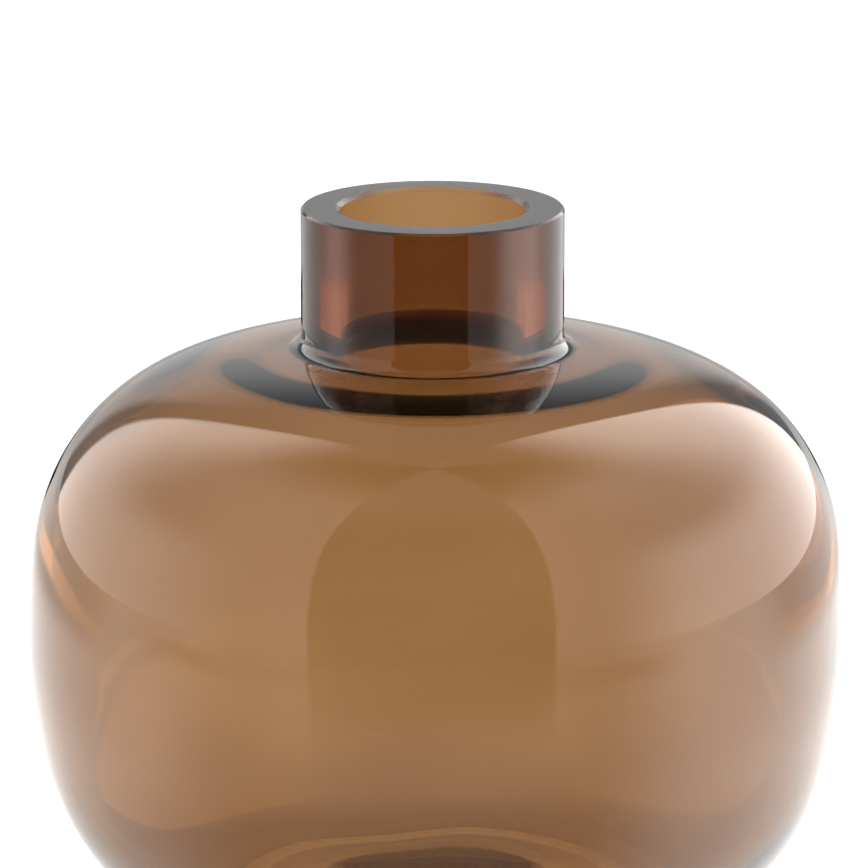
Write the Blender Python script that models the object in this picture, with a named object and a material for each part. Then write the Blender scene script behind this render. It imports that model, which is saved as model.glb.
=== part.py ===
"""Squat round bud vase of thick amber glass, turned about +Z and standing on z = 0.

The vase is one continuous glass. It is built here as the three sections that a glass maker
speaks of: the heavy-walled neck, the thin blown bowl and the base with its push-up.
Neighbouring sections meet face to face on flat annular joints.
"""

import math

import bmesh
import bpy
import numpy as np

# Driving dimensions, in metres.
BODY_RADIUS = 0.0600
RIM_HEIGHT = 0.1060
EQUATOR_HEIGHT = 0.0424
NECK_RADIUS = 0.0191
BORE_RADIUS = 0.0135

# The outer skin is two superellipse halves that meet at the equator, the widest circle.
SHOULDER_RISE = 0.0434
SHOULDER_POWERS = (3.5, 2.6)
HEEL_DROP = 0.0433
HEEL_POWERS = (4.7, 2.0)

# The inner skin: how far it lies inside the outer one at the equator and at the two poles.
SIDE_WALL = 0.0031
SHOULDER_WALL = 0.0026
HEEL_WALL = 0.0036
INNER_HEEL_POWERS = (4.95, 2.06)

# The glass thickens under the neck, from nothing at the larger radius to all at the smaller.
SHOULDER_THICKENING = 0.0008
THICKENING_REACH = (0.0240, 0.0340)

# Details.
RIM_CHAMFER = 0.00035
BORE_CHAMFER = 0.0006
NECK_FOOT_FILLET = 0.0022
BORE_FOOT_ROUND = 0.0040
FLOOR_DOME_HEIGHT = 0.0036
FLOOR_DOME_RADIUS = 0.0275
REST_RING_WIDTH = 0.0036
PUSH_UP_HEIGHT = 0.0036

# Joints between the sections.
JOINT_GAP = 0.0003
BASE_JOINT_HEIGHT = 0.0100

# Fineness of the turned surfaces.
TURN_STEPS = 64
CURVE_SAMPLES = 2000
SIDE_STEPS = 17
FLOOR_STEPS = 9
ROUND_STEPS = 4
MERGE_DISTANCE = 0.00001
SHARP_ANGLE = math.radians(28.0)

# Glass finish.
GLASS_COLOUR = (0.30, 0.14, 0.06, 1.0)
POLISHED_ROUGHNESS = 0.02
SATIN_ROUGHNESS = 0.35
GLASS_IOR = 1.5
GLASS_TRANSMISSION = 0.9


def remove_scene_objects():
    for scene_object in list(bpy.data.objects):
        bpy.data.objects.remove(scene_object, do_unlink=True)


def glass_material(name, roughness):
    material = bpy.data.materials.new(name)
    material.use_nodes = True
    shader = material.node_tree.nodes["Principled BSDF"]
    shader.inputs["Base Color"].default_value = GLASS_COLOUR
    shader.inputs["Roughness"].default_value = roughness
    shader.inputs["Metallic"].default_value = 0.0
    shader.inputs["IOR"].default_value = GLASS_IOR
    shader.inputs["Transmission Weight"].default_value = GLASS_TRANSMISSION
    return material


def superellipse_quarter(radius, height, powers):
    """Radii and heights of a quarter outline, from the equator (0 high) to the pole (radius 0)."""
    radius_power, height_power = powers
    angle = np.linspace(0.0, math.pi / 2.0, CURVE_SAMPLES)
    radii = radius * np.abs(np.cos(angle)) ** (2.0 / radius_power)
    heights = height * np.sin(angle) ** (2.0 / height_power)
    return radii, heights


def raised_cosine(radii, dome_radius, dome_height):
    """A smooth swelling that is dome_height at the axis and dies away at dome_radius."""
    inside = np.clip(radii / dome_radius, 0.0, 1.0)
    return dome_height * np.cos(inside * math.pi / 2.0) ** 2


def height_at(radius, curve):
    radii, heights = curve
    return float(np.interp(radius, radii[::-1], heights[::-1]))


def radius_at(height, curve):
    radii, heights = curve
    order = np.argsort(heights)
    return float(np.interp(height, heights[order], radii[order]))


def outer_shoulder():
    radii, heights = superellipse_quarter(BODY_RADIUS, SHOULDER_RISE, SHOULDER_POWERS)
    return radii, EQUATOR_HEIGHT + heights


def inner_shoulder():
    radii, heights = superellipse_quarter(
        BODY_RADIUS - SIDE_WALL, SHOULDER_RISE - SHOULDER_WALL, SHOULDER_POWERS)
    full, none = THICKENING_REACH
    nearness = np.clip((none - radii) / (none - full), 0.0, 1.0)
    thickening = SHOULDER_THICKENING * np.sin(nearness * math.pi / 2.0) ** 2
    return radii, EQUATOR_HEIGHT + heights - thickening


def outer_heel():
    radii, heights = superellipse_quarter(BODY_RADIUS, HEEL_DROP, HEEL_POWERS)
    return radii, EQUATOR_HEIGHT - heights


def inner_floor():
    """The inside below the equator: the heel's curve, with the floor swelling up at the middle."""
    radii, heights = superellipse_quarter(
        BODY_RADIUS - SIDE_WALL, HEEL_DROP - HEEL_WALL, INNER_HEEL_POWERS)
    dome = raised_cosine(radii, FLOOR_DOME_RADIUS, FLOOR_DOME_HEIGHT)
    return radii, EQUATOR_HEIGHT - heights + dome


def ball_in_corner(wall_radius, ball_radius, curve):
    """Rest a ball on a curve and against an upright wall.

    Returns the ball centre's radius and height, and the radius at which it meets the curve.
    """
    radii, heights = curve
    centre_radius = wall_radius + ball_radius
    reach = np.clip(ball_radius ** 2 - (radii - centre_radius) ** 2, 0.0, None)
    touching = reach > 0.0
    centre_heights = heights[touching] + np.sqrt(reach[touching])
    best = int(np.argmax(centre_heights))
    return centre_radius, float(centre_heights[best]), float(radii[touching][best])


def arc(centre_radius, centre_height, radius, start, end, steps):
    """Points on an arc; angles in radians, 0 pointing away from the axis and pi/2 pointing up."""
    angles = np.linspace(start, end, steps + 1)
    return [
        (centre_radius + radius * math.cos(angle), centre_height + radius * math.sin(angle))
        for angle in angles
    ]


def evenly_spaced(points, steps):
    """The same outline drawn with equal steps along its length."""
    path = np.array(points)
    lengths = np.hypot(*np.diff(path, axis=0).T)
    travelled = np.concatenate([[0.0], np.cumsum(lengths)])
    wanted = np.linspace(0.0, travelled[-1], steps + 1)
    radii = np.interp(wanted, travelled, path[:, 0])
    heights = np.interp(wanted, travelled, path[:, 1])
    return list(zip(radii.tolist(), heights.tolist()))


def stretch(curve, top=math.inf, bottom=-math.inf, largest=math.inf, smallest=0.0):
    """The part of a curve between two heights and two radii, as a list of points."""
    radii, heights = curve
    kept = (heights <= top) & (heights >= bottom) & (radii <= largest) & (radii >= smallest)
    return list(zip(radii[kept].tolist(), heights[kept].tolist()))


def neck_foot():
    """The concave sweep outside, from the neck's wall (first point) out onto the shoulder."""
    shoulder = outer_shoulder()
    centre_radius, centre_height, meets = ball_in_corner(
        NECK_RADIUS, NECK_FOOT_FILLET, shoulder)
    end = math.atan2(height_at(meets, shoulder) - centre_height, meets - centre_radius)
    return arc(centre_radius, centre_height, NECK_FOOT_FILLET, -math.pi, end, ROUND_STEPS)


def bore_foot():
    """The convex round inside, from the bore's wall (first point) out under the shoulder."""
    ceiling = inner_shoulder()
    centre_radius = BORE_RADIUS + BORE_FOOT_ROUND
    centre_height = height_at(centre_radius, ceiling) + BORE_FOOT_ROUND
    return arc(centre_radius, centre_height, BORE_FOOT_ROUND, math.pi, math.pi * 1.5, ROUND_STEPS)


def neck_outline():
    joint = neck_foot()[0][1] + JOINT_GAP / 2.0
    return [
        (BORE_RADIUS, joint),
        (BORE_RADIUS, RIM_HEIGHT - BORE_CHAMFER),
        (BORE_RADIUS + BORE_CHAMFER, RIM_HEIGHT),
        (NECK_RADIUS - RIM_CHAMFER, RIM_HEIGHT),
        (NECK_RADIUS, RIM_HEIGHT - RIM_CHAMFER),
        (NECK_RADIUS, joint),
    ]


def bowl_outline():
    top = neck_foot()[0][1] - JOINT_GAP / 2.0
    bottom = BASE_JOINT_HEIGHT + JOINT_GAP / 2.0
    foot = [(NECK_RADIUS, top)] + neck_foot()[1:]
    outside = stretch(outer_shoulder(), smallest=foot[-1][0])[::-1]
    outside += stretch(outer_heel(), bottom=bottom)[1:]
    outside.append((radius_at(bottom, outer_heel()), bottom))
    bore = [(BORE_RADIUS, top)] + bore_foot()
    inside = stretch(inner_shoulder(), smallest=bore[-1][0])[::-1]
    inside += stretch(inner_floor(), bottom=bottom)[1:]
    inside.append((radius_at(bottom, inner_floor()), bottom))
    outline = foot[:-1] + evenly_spaced(outside, SIDE_STEPS)
    outline += (bore[:-1] + evenly_spaced(inside, SIDE_STEPS))[::-1]
    return outline


def base_outline():
    top = BASE_JOINT_HEIGHT - JOINT_GAP / 2.0
    heel = outer_heel()
    ring_outer = radius_at(0.0, heel)
    ring_inner = ring_outer - REST_RING_WIDTH
    outside = [(radius_at(top, heel), top)] + stretch(heel, top=top, bottom=0.0)
    floor = inner_floor()
    inside = [(radius_at(top, floor), top)] + stretch(floor, top=top)
    inside.append((0.0, float(floor[1][-1])))
    push_up_radii = np.linspace(ring_inner, 0.0, FLOOR_STEPS + 1)
    push_up = zip(push_up_radii, raised_cosine(push_up_radii, ring_inner, PUSH_UP_HEIGHT))
    outline = evenly_spaced(outside, ROUND_STEPS + 1)
    outline += [(float(radius), float(height)) for radius, height in push_up]
    outline += evenly_spaced(inside, FLOOR_STEPS)[::-1]
    return outline


def turned_solid(name, outline, material):
    """Turn a closed outline of (radius, height) points about +Z."""
    shape = bmesh.new()
    points = [shape.verts.new((radius, 0.0, height)) for radius, height in outline]
    for start, end in zip(points, points[1:] + points[:1]):
        on_axis = start.co.x < MERGE_DISTANCE and end.co.x < MERGE_DISTANCE
        if not on_axis:
            shape.edges.new((start, end))
    bmesh.ops.spin(
        shape,
        geom=shape.verts[:] + shape.edges[:],
        cent=(0.0, 0.0, 0.0),
        axis=(0.0, 0.0, 1.0),
        angle=math.tau,
        steps=TURN_STEPS,
        use_merge=True,
    )
    bmesh.ops.remove_doubles(shape, verts=shape.verts[:], dist=MERGE_DISTANCE)
    bmesh.ops.recalc_face_normals(shape, faces=shape.faces[:])
    mesh = bpy.data.meshes.new(name)
    shape.to_mesh(mesh)
    shape.free()
    mesh.materials.append(material)
    mesh.shade_smooth()
    mesh.set_sharp_from_angle(angle=SHARP_ANGLE)
    solid = bpy.data.objects.new(name, mesh)
    bpy.context.collection.objects.link(solid)
    return solid


def build_vase():
    remove_scene_objects()
    vase = bpy.data.objects.new("vase", None)
    bpy.context.collection.objects.link(vase)
    sections = [
        turned_solid("neck", neck_outline(), glass_material("neck_glass", SATIN_ROUGHNESS)),
        turned_solid("bowl", bowl_outline(), glass_material("bowl_glass", POLISHED_ROUGHNESS)),
        turned_solid("base", base_outline(), glass_material("base_glass", POLISHED_ROUGHNESS)),
    ]
    for section in sections:
        section.parent = vase


build_vase()
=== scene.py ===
"""The looks of a squat amber glass bud vase: one continuous blown glass with a ground rim."""

import math

import bpy
import numpy as np
from mathutils import Matrix, Vector, noise


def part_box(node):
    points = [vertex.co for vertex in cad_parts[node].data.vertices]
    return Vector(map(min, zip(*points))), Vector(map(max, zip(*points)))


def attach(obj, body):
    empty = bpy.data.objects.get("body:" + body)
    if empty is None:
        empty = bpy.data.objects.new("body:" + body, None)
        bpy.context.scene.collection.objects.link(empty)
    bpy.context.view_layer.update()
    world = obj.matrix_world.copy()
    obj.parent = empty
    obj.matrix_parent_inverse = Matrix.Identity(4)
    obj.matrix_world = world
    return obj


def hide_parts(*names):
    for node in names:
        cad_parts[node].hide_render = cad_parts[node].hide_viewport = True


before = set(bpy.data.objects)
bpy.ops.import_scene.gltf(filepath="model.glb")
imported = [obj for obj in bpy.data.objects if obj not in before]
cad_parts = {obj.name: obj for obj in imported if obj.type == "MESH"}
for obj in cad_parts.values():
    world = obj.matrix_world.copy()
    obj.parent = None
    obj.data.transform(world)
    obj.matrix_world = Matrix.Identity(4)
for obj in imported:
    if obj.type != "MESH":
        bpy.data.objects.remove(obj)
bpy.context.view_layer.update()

# The vase's own shape, in metres, following the frame.
BODY_RADIUS = 0.0600
RIM_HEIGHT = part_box("neck")[1][2]
EQUATOR_HEIGHT = 0.0424
NECK_RADIUS = 0.0191
BORE_RADIUS = 0.0135
SHOULDER_RISE = 0.0434
SHOULDER_POWERS = (3.5, 2.6)
HEEL_DROP = 0.0433
HEEL_POWERS = (4.7, 2.0)
SIDE_WALL = 0.0031
SHOULDER_WALL = 0.0026
HEEL_WALL = 0.0036
INNER_HEEL_POWERS = (4.95, 2.06)
SHOULDER_THICKENING = 0.0008
THICKENING_REACH = (0.0240, 0.0340)
RIM_CHAMFER = 0.00035
BORE_CHAMFER = 0.0006
NECK_FOOT_FILLET = 0.0022
BORE_FOOT_ROUND = 0.0040
FLOOR_DOME_HEIGHT = 0.0036
FLOOR_DOME_RADIUS = 0.0275
REST_RING_WIDTH = 0.0036
PUSH_UP_HEIGHT = 0.0036

# What the blower's hand leaves: a neck a little to one side and uneven walls.
NECK_SHIFT = -0.0007
NECK_SHIFT_HEIGHTS = (0.074, 0.088)
CAVITY_SHIFT = -0.0002
OUTER_RIPPLE = (0.00004, 0.022)
INNER_RIPPLE = (0.00030, 0.018)
INNER_RIPPLE_SEED = Vector((3.7, 1.3, 8.1))
RIPPLED_HEIGHTS = (0.004, 0.012, 0.074, 0.084)

# How finely the outline is cut: points round the axis, and steps along each stretch.
TURN_STEPS = 208
CURVE_SAMPLES = 4000
NECK_STEPS = 12
FILLET_STEPS = 24
OUTSIDE_STEPS = 150
RING_STEPS = 3
PUSH_UP_STEPS = 32
INSIDE_STEPS = 170
BORE_FOOT_STEPS = 16
BORE_STEPS = 20
RIM_STEPS = 4
ON_AXIS = 1e-7
SHARP_ANGLE = math.radians(30.0)

# Glass.
GLASS_IOR = 1.5
ABSORPTION_COLOUR = (0.673, 0.49, 0.228, 1.0)
ABSORPTION_DENSITY = 600.0
RIM_ROUGHNESS = 0.28
BORE_ROUGHNESS = 0.22
BORE_SATIN_FOOT = (0.0940, 0.0985)

# Studio. Azimuth 0 is the camera's side (-Y) and grows towards +X; angles in degrees.
DOME_RADIUS = 3.0
DOME_TILT = Matrix.Rotation(math.radians(-8.0), 3, "X")
LEFT_PANEL = (-151.0, -35.5)
RIGHT_PANEL = (32.5, 160.5)
GAP_APEX = 0.034
LEFT_BOX_START = (52.0, 95.0)
RIGHT_BOX_START = (42.0, 82.0)
FRONT_PANEL_LEVEL = 1.1
LEFT_BOX_LEVEL = 2.5
RIGHT_BOX_LEVEL = 3.8
LEFT_UPPER_LEVELS = (1.1, 2.9)
RIGHT_UPPER_LEVELS = (1.7, 3.2)
UPPER_PANEL_BRIGHTENS = (98.0, 142.0)
UPPER_PANEL_START = (18.0, 36.0)
PANEL_TINT = (1.0, 0.94, 0.87)
SOFTBOX_TINT = (1.0, 0.975, 0.95)
PANEL_TOP = (56.0, 80.0)
SEAM_WIDTH = 3.0
BACK_GAP_SOFT_EDGE = 9.0
FRONT_GAP_LEVEL = 0.04
FRONT_GAP_TOP_LEVEL = 0.40
FRONT_GAP_FADE = (46.0, 66.0)
BACK_GAP_HEIGHTS = (0.0, 15.0, 30.0, 45.0, 60.0, 75.0)
BACK_GAP_LEVELS = (0.75, 0.90, 0.85, 0.40, 0.15, 0.04)
BACK_LOWEST_LEVEL = 0.35
BACK_LOWEST_AZIMUTHS = (96.0, 140.0)
FLOOR_LEVEL = 0.85
FLOOR_COLOUR = 0.35
# Painted light from the two boxes, far out on the floor beside them.
FLOOR_PAINTED_LIGHT_GAIN = 3.0
FLOOR_FAR_REACH = (0.30, 0.33, 0.44, 0.50)
FLOOR_FAR_AZIMUTHS = (104.0, 150.0)
FLOOR_FAR_SOFTNESS = 12.0
# Painted reflection of the table, on a sheet that only reflections see: its levels, the boxes' gleam
# painted on it, and where it is darker.
PAINTED_REFLECTION_HEIGHT = 0.001
PAINTED_REFLECTION_LEVEL = 1.1
PAINTED_REFLECTION_SHARE = 0.80
PAINTED_REFLECTION_SHARE_AZIMUTHS = (-160.0, 160.0)
PAINTED_REFLECTION_SHARE_SOFTNESS = 16.0
PAINTED_REFLECTION_BACK_FADE = 0.45
PAINTED_REFLECTION_BACK_REACH = (0.22, 0.34)
PAINTED_REFLECTION_BACK_AZIMUTHS = (105.0, 200.0)
PAINTED_REFLECTION_BACK_SOFTNESS = 20.0
PAINTED_REFLECTION_FOOT_LEVEL = 0.66
PAINTED_REFLECTION_FOOT_REACH = (0.060, 0.120)
PAINTED_REFLECTION_DIM_LEVEL = 0.60
PAINTED_REFLECTION_DIM_REACH = (0.30, 0.42, 0.50, 0.80)
PAINTED_REFLECTION_DIM_AZIMUTHS = (-80.0, 60.0)
PAINTED_REFLECTION_DIM_SOFTNESS = 30.0
# Painted dark reflection in front of the vase, by distance.
FRONT_DARK_REFLECTION_REACHES = (0.060, 0.090, 0.105, 0.125, 0.20, 0.25, 0.32, 0.50, 2.98)
FRONT_DARK_REFLECTION_LEVELS = (0.45, 0.60, 0.80, 0.90, 0.60, 0.30, 0.15, 0.06, 0.04)
# Painted dark reflections that draw the neck's outline, on strips that only reflections see.
NECK_EDGE_REFLECTION_REACH = (0.30, 0.42)
EDGE_REFLECTION_HEIGHT = 0.0012
EDGE_REFLECTION_INSET = 0.004
EDGE_REFLECTION_SPREADS = ((-1.0, 0.10, 0.36), (1.0, 0.10, 0.31))
WORLD_LEVEL = 1.1

# Camera.
CAMERA_ELEVATION = math.radians(15.4)
CAMERA_DISTANCE = 1.0
CAMERA_LENS = 282.6
CAMERA_AIM = (-0.0005, 0.0, EQUATOR_HEIGHT + 0.0298)


def superellipse_quarter(radius, height, powers):
    radius_power, height_power = powers
    angle = np.linspace(0.0, math.pi / 2.0, CURVE_SAMPLES)
    radii = radius * np.abs(np.cos(angle)) ** (2.0 / radius_power)
    heights = height * np.sin(angle) ** (2.0 / height_power)
    return radii, heights


def raised_cosine(radii, dome_radius, dome_height):
    inside = np.clip(radii / dome_radius, 0.0, 1.0)
    return dome_height * np.cos(inside * math.pi / 2.0) ** 2


def arc(centre, radius, start, end, steps):
    angles = np.linspace(start, end, steps + 1)
    return np.column_stack([centre[0] + radius * np.cos(angles), centre[1] + radius * np.sin(angles)])


def evenly_spaced(path, steps):
    path = np.asarray(path)
    lengths = np.hypot(*np.diff(path, axis=0).T)
    travelled = np.concatenate([[0.0], np.cumsum(lengths)])
    wanted = np.linspace(0.0, travelled[-1], steps + 1)
    return np.column_stack([np.interp(wanted, travelled, path[:, i]) for i in (0, 1)])


def curve_points(curve, top=math.inf, bottom=-math.inf, smallest=0.0):
    radii, heights = curve
    kept = (heights <= top) & (heights >= bottom) & (radii >= smallest)
    return np.column_stack([radii[kept], heights[kept]])


def outer_shoulder():
    radii, heights = superellipse_quarter(BODY_RADIUS, SHOULDER_RISE, SHOULDER_POWERS)
    return radii, EQUATOR_HEIGHT + heights


def inner_shoulder():
    radii, heights = superellipse_quarter(
        BODY_RADIUS - SIDE_WALL, SHOULDER_RISE - SHOULDER_WALL, SHOULDER_POWERS)
    inner, outer = THICKENING_REACH
    nearness = np.clip((outer - radii) / (outer - inner), 0.0, 1.0)
    thickening = SHOULDER_THICKENING * np.sin(nearness * math.pi / 2.0) ** 2
    return radii, EQUATOR_HEIGHT + heights - thickening


def outer_heel():
    radii, heights = superellipse_quarter(BODY_RADIUS, HEEL_DROP, HEEL_POWERS)
    return radii, EQUATOR_HEIGHT - heights


def inner_floor():
    radii, heights = superellipse_quarter(
        BODY_RADIUS - SIDE_WALL, HEEL_DROP - HEEL_WALL, INNER_HEEL_POWERS)
    dome = raised_cosine(radii, FLOOR_DOME_RADIUS, FLOOR_DOME_HEIGHT)
    return radii, EQUATOR_HEIGHT - heights + dome


def neck_foot():
    radii, heights = outer_shoulder()
    centre_radius = NECK_RADIUS + NECK_FOOT_FILLET
    reach = np.clip(NECK_FOOT_FILLET ** 2 - (radii - centre_radius) ** 2, 0.0, None)
    touching = reach > 0.0
    centre_heights = heights[touching] + np.sqrt(reach[touching])
    best = int(np.argmax(centre_heights))
    centre = (centre_radius, float(centre_heights[best]))
    meets = (float(radii[touching][best]), float(heights[touching][best]))
    end = math.atan2(meets[1] - centre[1], meets[0] - centre[0])
    return arc(centre, NECK_FOOT_FILLET, -math.pi, end, FILLET_STEPS)


def bore_foot():
    radii, heights = inner_shoulder()
    centre_radius = BORE_RADIUS + BORE_FOOT_ROUND
    ceiling = float(np.interp(centre_radius, radii[::-1], heights[::-1]))
    centre = (centre_radius, ceiling + BORE_FOOT_ROUND)
    return arc(centre, BORE_FOOT_ROUND, math.pi, math.pi * 1.5, BORE_FOOT_STEPS)


def outline():
    """The whole skin in half section: the outside from the rim's bevel down and under to the
    axis, the inside from the axis up to the bore's top, then across the rim to the start."""
    foot = neck_foot()
    joint_height = foot[0][1]
    neck_wall = evenly_spaced(
        [(NECK_RADIUS, RIM_HEIGHT - RIM_CHAMFER), (NECK_RADIUS, joint_height)], NECK_STEPS)
    shoulder = curve_points(outer_shoulder(), smallest=foot[-1][0])[::-1]
    heel_curve = outer_heel()
    heel = curve_points(heel_curve, bottom=0.0)
    order = np.argsort(heel_curve[1])
    ring_outer = float(np.interp(0.0, heel_curve[1][order], heel_curve[0][order]))
    outside = evenly_spaced(
        np.vstack([shoulder, heel[1:], [(ring_outer, 0.0)]]), OUTSIDE_STEPS)
    ring_inner = ring_outer - REST_RING_WIDTH
    ring = evenly_spaced([(ring_outer, 0.0), (ring_inner, 0.0)], RING_STEPS)
    push_radii = np.linspace(ring_inner, 0.0, PUSH_UP_STEPS + 1)
    push_up = np.column_stack([push_radii, raised_cosine(push_radii, ring_inner, PUSH_UP_HEIGHT)])
    floor = curve_points(inner_floor())[::-1]
    round_below = bore_foot()[::-1]
    ceiling = curve_points(inner_shoulder(), smallest=round_below[0][0])[1:]
    inside = evenly_spaced(np.vstack([floor, ceiling]), INSIDE_STEPS)
    bore = evenly_spaced(
        [round_below[-1], (BORE_RADIUS, RIM_HEIGHT - BORE_CHAMFER)], BORE_STEPS)
    rim = evenly_spaced(
        [(BORE_RADIUS + BORE_CHAMFER, RIM_HEIGHT), (NECK_RADIUS - RIM_CHAMFER, RIM_HEIGHT)],
        RIM_STEPS)
    return np.vstack([
        neck_wall[:-1], foot, outside[1:], ring[1:], push_up[1:], inside, round_below[1:],
        bore[1:], rim])


def turned_mesh(name, path):
    """A turned skin: rings of TURN_STEPS points, with single points where it meets the axis."""
    vertices = []
    rings = []
    for radius, height in path:
        if radius < ON_AXIS:
            rings.append([len(vertices)])
            vertices.append((0.0, 0.0, height))
            continue
        start = len(vertices)
        rings.append(list(range(start, start + TURN_STEPS)))
        for step in range(TURN_STEPS):
            angle = math.tau * step / TURN_STEPS
            vertices.append((radius * math.cos(angle), radius * math.sin(angle), height))
    faces = []
    for upper, lower in zip(rings, rings[1:] + rings[:1]):
        for step in range(TURN_STEPS):
            following = (step + 1) % TURN_STEPS
            if len(upper) == 1 and len(lower) == 1:
                break
            if len(upper) == 1:
                faces.append((upper[0], lower[step], lower[following]))
            elif len(lower) == 1:
                faces.append((upper[following], upper[step], lower[0]))
            else:
                faces.append((upper[following], upper[step], lower[step], lower[following]))
    mesh = bpy.data.meshes.new(name)
    mesh.from_pydata(vertices, [], faces)
    mesh.update()
    return mesh


def glass_material():
    """Clear amber glass; the mesh's "satin" attribute frosts the ground rim and the bore."""
    material = bpy.data.materials.new("amber_glass")
    material.use_nodes = True
    nodes = material.node_tree.nodes
    links = material.node_tree.links
    shader = nodes["Principled BSDF"]
    shader.inputs["Base Color"].default_value = (1.0, 1.0, 1.0, 1.0)
    shader.inputs["IOR"].default_value = GLASS_IOR
    shader.inputs["Transmission Weight"].default_value = 1.0
    satin = nodes.new("ShaderNodeAttribute")
    satin.attribute_name = "satin"
    links.new(satin.outputs["Fac"], shader.inputs["Roughness"])
    volume = nodes.new("ShaderNodeVolumeAbsorption")
    volume.inputs["Color"].default_value = ABSORPTION_COLOUR
    volume.inputs["Density"].default_value = ABSORPTION_DENSITY
    links.new(volume.outputs["Volume"], nodes["Material Output"].inputs["Volume"])
    return material


def satin_at(point):
    """Roughness of the skin at one point: the ground rim, then the bore, then polished glass."""
    radius = math.hypot(point.x, point.y)
    if point.z > RIM_HEIGHT - RIM_CHAMFER / 2.0:
        return RIM_ROUGHNESS
    if radius < BORE_RADIUS + BORE_CHAMFER:
        return BORE_ROUGHNESS * smooth(*BORE_SATIN_FOOT, point.z)
    return 0.0


def blown_shift(point, normal):
    """How far the hand-blown glass strays at one point from the truly turned shape."""
    low_start, low_end, high_start, high_end = RIPPLED_HEIGHTS
    rippled = smooth(low_start, low_end, point.z) * (1.0 - smooth(high_start, high_end, point.z))
    outward = normal.x * point.x + normal.y * point.y + normal.z * (point.z - EQUATOR_HEIGHT)
    inside = outward < 0.0
    depth, scale = INNER_RIPPLE if inside else OUTER_RIPPLE
    seed = INNER_RIPPLE_SEED if inside else Vector((0.0, 0.0, 0.0))
    ripple = depth * rippled * noise.noise(point / scale + seed)
    sideways = NECK_SHIFT * smooth(*NECK_SHIFT_HEIGHTS, point.z)
    if inside:
        sideways += CAVITY_SHIFT * rippled
    return normal * ripple + Vector((sideways, 0.0, 0.0))


def make_vase():
    path = outline()
    mesh = turned_mesh("vase_glass", path)
    mesh.materials.append(glass_material())
    mesh.shade_smooth()
    satin = mesh.attributes.new("satin", "FLOAT", "POINT")
    satin.data.foreach_set("value", [satin_at(vertex.co) for vertex in mesh.vertices])
    shifts = [blown_shift(vertex.co, vertex.normal) for vertex in mesh.vertices]
    for vertex, shift in zip(mesh.vertices, shifts):
        vertex.co += shift
    mesh.update()
    mesh.set_sharp_from_angle(angle=SHARP_ANGLE)
    vase = bpy.data.objects.new("vase_glass", mesh)
    bpy.context.collection.objects.link(vase)
    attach(vase, "root")
    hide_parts("neck", "bowl", "base")
    return vase


def direction(azimuth, elevation):
    """Azimuth 0 faces the camera's side (-Y) and grows towards +X; both in degrees."""
    azimuth, elevation = math.radians(azimuth), math.radians(elevation)
    return Vector((
        math.sin(azimuth) * math.cos(elevation),
        -math.cos(azimuth) * math.cos(elevation),
        math.sin(elevation)))


def smooth(low, high, value):
    part = np.clip((value - low) / (high - low), 0.0, 1.0)
    return part * part * (3.0 - 2.0 * part)


def between(low, high, value, softness=1.0):
    return (smooth(low - softness / 2.0, low + softness / 2.0, value)
            * (1.0 - smooth(high - softness / 2.0, high + softness / 2.0, value)))


def mix(low, high, part):
    return np.asarray(low) * (1.0 - part) + np.asarray(high) * part


def panel_glow(azimuth, elevation):
    """Both side panels: a paler front part, then a bright box that fades upwards."""
    on_left = azimuth < 0.0
    box_level = LEFT_BOX_LEVEL if on_left else RIGHT_BOX_LEVEL
    boxed = smooth(*(LEFT_BOX_START if on_left else RIGHT_BOX_START), abs(azimuth))
    upper_levels = LEFT_UPPER_LEVELS if on_left else RIGHT_UPPER_LEVELS
    upper_level = mix(*upper_levels, smooth(*UPPER_PANEL_BRIGHTENS, abs(azimuth)))
    level = mix(box_level, upper_level, smooth(*UPPER_PANEL_START, elevation))
    box = np.array(SOFTBOX_TINT) * level
    return mix(np.array(PANEL_TINT) * FRONT_PANEL_LEVEL, box, boxed)


def dome_glow(azimuth, elevation):
    """Colour and brightness of the studio dome in one direction of its own tilted frame."""
    azimuth = (azimuth + 180.0) % 360.0 - 180.0
    left = between(LEFT_PANEL[0] + SEAM_WIDTH, LEFT_PANEL[1], azimuth)
    right = between(RIGHT_PANEL[0], RIGHT_PANEL[1] - SEAM_WIDTH, azimuth)
    middle = (RIGHT_PANEL[1] + LEFT_PANEL[0] + 360.0) / 2.0
    half = (LEFT_PANEL[0] + 360.0 - RIGHT_PANEL[1]) / 2.0
    back_gap = smooth(0.0, BACK_GAP_SOFT_EDGE, half - abs(azimuth % 360.0 - middle))
    front_gap = between(LEFT_PANEL[1], RIGHT_PANEL[0], azimuth)
    panels = (left + right) * (1.0 - smooth(*PANEL_TOP, elevation))
    back = back_gap * np.interp(elevation, BACK_GAP_HEIGHTS, BACK_GAP_LEVELS)
    front = front_gap * mix(
        FRONT_GAP_LEVEL, FRONT_GAP_TOP_LEVEL, smooth(*FRONT_GAP_FADE, elevation))
    lowest = BACK_LOWEST_LEVEL * smooth(*BACK_LOWEST_AZIMUTHS, abs(azimuth))
    return np.maximum(panel_glow(azimuth, elevation) * panels + back + front, lowest)


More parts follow.
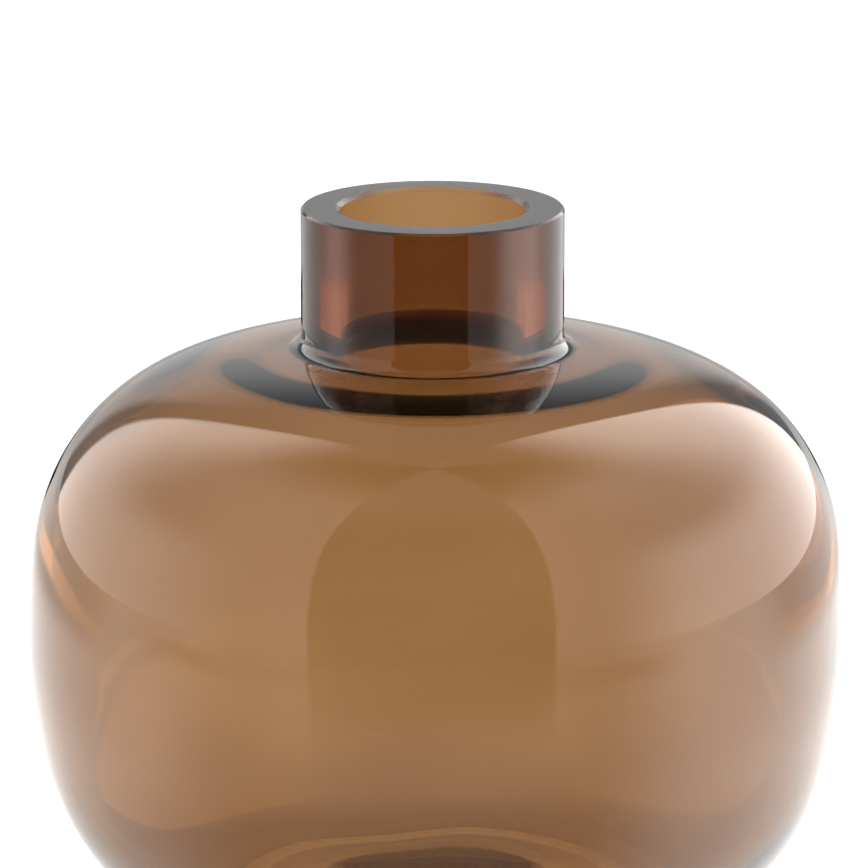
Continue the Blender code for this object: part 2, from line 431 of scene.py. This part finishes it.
def painted_reflection_glow(x, y):
    """Painted reflection of the table: the boxes' gleam painted on it, darker round the foot, behind
    and in a front band, and a painted dark reflection in front.
    """
    azimuth = math.degrees(math.atan2(x, -(y + GAP_APEX)))
    reach = math.hypot(x, y)
    beside = between(*PAINTED_REFLECTION_SHARE_AZIMUTHS, azimuth, PAINTED_REFLECTION_SHARE_SOFTNESS)
    # The boxes' gleam painted onto the table's reflection, everywhere but straight behind.
    level = mix(np.full(3, PAINTED_REFLECTION_LEVEL), panel_glow(azimuth, 0.0) * PAINTED_REFLECTION_SHARE, beside)
    # Painted reflection darker round the vase's foot.
    level = level * mix(PAINTED_REFLECTION_FOOT_LEVEL, 1.0, smooth(*PAINTED_REFLECTION_FOOT_REACH, reach))
    # Painted reflection darker behind, further out.
    behind = between(*PAINTED_REFLECTION_BACK_AZIMUTHS, abs(azimuth), PAINTED_REFLECTION_BACK_SOFTNESS)
    behind = behind * smooth(*PAINTED_REFLECTION_BACK_REACH, reach)
    level = level * (1.0 - PAINTED_REFLECTION_BACK_FADE * behind)
    # Painted reflection darker in a band in front.
    start, full, fading, end = PAINTED_REFLECTION_DIM_REACH
    dim = smooth(start, full, reach) * (1.0 - smooth(fading, end, reach))
    dim = dim * between(*PAINTED_REFLECTION_DIM_AZIMUTHS, azimuth, PAINTED_REFLECTION_DIM_SOFTNESS)
    level = mix(level, np.full(3, PAINTED_REFLECTION_DIM_LEVEL), dim)
    # Painted dark reflection in front of the vase.
    dark = between(LEFT_PANEL[1], RIGHT_PANEL[0], azimuth)
    return mix(level, np.full(3, np.interp(reach, FRONT_DARK_REFLECTION_REACHES, FRONT_DARK_REFLECTION_LEVELS)), dark)


def graded_surface(name, points, glow, faces, base=0.0):
    """A stage surface whose light varies from point to point."""
    mesh = bpy.data.meshes.new(name)
    mesh.from_pydata([tuple(point) for point in points], [], faces)
    colours = mesh.attributes.new("glow", "FLOAT_COLOR", "POINT")
    values = np.ones((len(points), 4), dtype=np.float32)
    values[:, :3] = glow
    colours.data.foreach_set("color", values.ravel())
    material = bpy.data.materials.new(name)
    material.use_nodes = True
    tree = material.node_tree
    shader = tree.nodes["Principled BSDF"]
    shader.inputs["Base Color"].default_value = (base, base, base, 1.0)
    shader.inputs["Roughness"].default_value = 1.0
    shader.inputs["Specular IOR Level"].default_value = 0.0
    shader.inputs["Emission Strength"].default_value = 1.0
    attribute = tree.nodes.new("ShaderNodeAttribute")
    attribute.attribute_name = "glow"
    tree.links.new(attribute.outputs["Color"], shader.inputs["Emission Color"])
    material.cycles.emission_sampling = "NONE"
    mesh.materials.append(material)
    surface = bpy.data.objects.new(name, mesh)
    bpy.context.collection.objects.link(surface)
    return surface


def grid_faces(rows, columns, closed):
    faces = []
    for row in range(rows - 1):
        for column in range(columns if closed else columns - 1):
            following = (column + 1) % columns
            faces.append((
                row * columns + column, row * columns + following,
                (row + 1) * columns + following, (row + 1) * columns + column))
    return faces


# A surface that only reflections see: it paints a reflection onto the glass.
def only_reflected(surface):
    surface.visible_camera = False
    surface.visible_diffuse = False
    surface.visible_transmission = False
    surface.visible_shadow = False


def make_dome():
    """A large dome round the vase, which the glass and the floor see but the camera does not."""
    azimuths = np.arange(-180.0, 180.0, 1.0)
    elevations = np.arange(-14.0, 90.1, 1.0)
    points = []
    glow = []
    for elevation in elevations:
        for azimuth in azimuths:
            spot = direction(azimuth, elevation)
            spot.rotate(DOME_TILT)
            points.append(spot * DOME_RADIUS)
            glow.append(dome_glow(azimuth, elevation))
    dome = graded_surface(
        "dome", points, glow, grid_faces(len(elevations), len(azimuths), closed=True))
    dome.visible_camera = False


def make_floor():
    """The pale table, evenly bright, with painted light from the two boxes far out beside them."""
    reaches = np.concatenate([[0.005], np.geomspace(0.05, 6.0, 90)])
    azimuths = np.arange(-180.0, 180.0, 3.0)
    points = []
    glow = []
    for reach in reaches:
        for azimuth in azimuths:
            points.append(direction(azimuth, 0.0) * reach)
            # Painted light from the two boxes on the floor, far out beside them.
            start, full, fading, end = FLOOR_FAR_REACH
            far = smooth(start, full, reach) * (1.0 - smooth(fading, end, reach))
            far = far * between(*FLOOR_FAR_AZIMUTHS, abs(azimuth), FLOOR_FAR_SOFTNESS)
            glow.append([FLOOR_LEVEL + FLOOR_PAINTED_LIGHT_GAIN * far] * 3)
    faces = grid_faces(len(reaches), len(azimuths), closed=True)
    faces.append(tuple(range(len(azimuths)))[::-1])
    graded_surface("floor", points, glow, faces, FLOOR_COLOUR)


def make_painted_reflection():
    """A painted reflection of the table; nothing but a reflection sees it."""
    reaches = np.geomspace(0.03, 2.95, 60)
    azimuths = np.arange(-180.0, 180.0, 1.0)
    points = []
    for reach in reaches:
        for azimuth in azimuths:
            spot = direction(azimuth, 0.0) * reach
            points.append(Vector((spot.x, spot.y - GAP_APEX, PAINTED_REFLECTION_HEIGHT)))
    glow = [painted_reflection_glow(point.x, point.y) for point in points]
    only_reflected(graded_surface(
        "painted_reflection", points, glow, grid_faces(len(reaches), len(azimuths), closed=True)))


def make_world():
    world = bpy.data.worlds.new("studio")
    bpy.context.scene.world = world
    world.use_nodes = True
    world.node_tree.nodes["Background"].inputs["Strength"].default_value = WORLD_LEVEL
    world.node_tree.nodes["Background"].inputs["Color"].default_value = (1.0, 1.0, 1.0, 1.0)


def make_painted_edge_reflections():
    """Two narrow black strips behind the vase that only reflections see: painted dark reflections
    that draw its neck's outline.
    """
    reaches = np.linspace(*NECK_EDGE_REFLECTION_REACH, 3)
    for number, (side, near, far) in enumerate(EDGE_REFLECTION_SPREADS):
        points = []
        for spread in (near, far):
            for reach in reaches:
                across = NECK_RADIUS - EDGE_REFLECTION_INSET + spread * reach
                points.append((side * across, reach, EDGE_REFLECTION_HEIGHT))
        only_reflected(graded_surface(
            f"painted_neck_reflection_{number}", points, np.zeros((len(points), 3)),
            grid_faces(2, len(reaches), closed=False)))


def make_camera():
    data = bpy.data.cameras.new("camera")
    data.lens = CAMERA_LENS
    data.sensor_width = 36.0
    data.clip_start = 0.05
    camera = bpy.data.objects.new("camera", data)
    bpy.context.collection.objects.link(camera)
    equator = Vector((0.0, 0.0, EQUATOR_HEIGHT))
    away = Vector((0.0, -math.cos(CAMERA_ELEVATION), math.sin(CAMERA_ELEVATION)))
    camera.location = equator + away * CAMERA_DISTANCE
    aim = Vector(CAMERA_AIM) - camera.location
    camera.rotation_euler = aim.to_track_quat("-Z", "Y").to_euler()
    bpy.context.scene.camera = camera


def set_look():
    view = bpy.context.scene.view_settings
    view.view_transform = "Standard"
    view.look = "None"
    bpy.context.scene.cycles.max_bounces = 24
    bpy.context.scene.cycles.transmission_bounces = 24
    bpy.context.scene.cycles.glossy_bounces = 12


make_vase()
make_floor()
make_world()
make_dome()
make_painted_reflection()
make_painted_edge_reflections()
make_camera()
set_look()
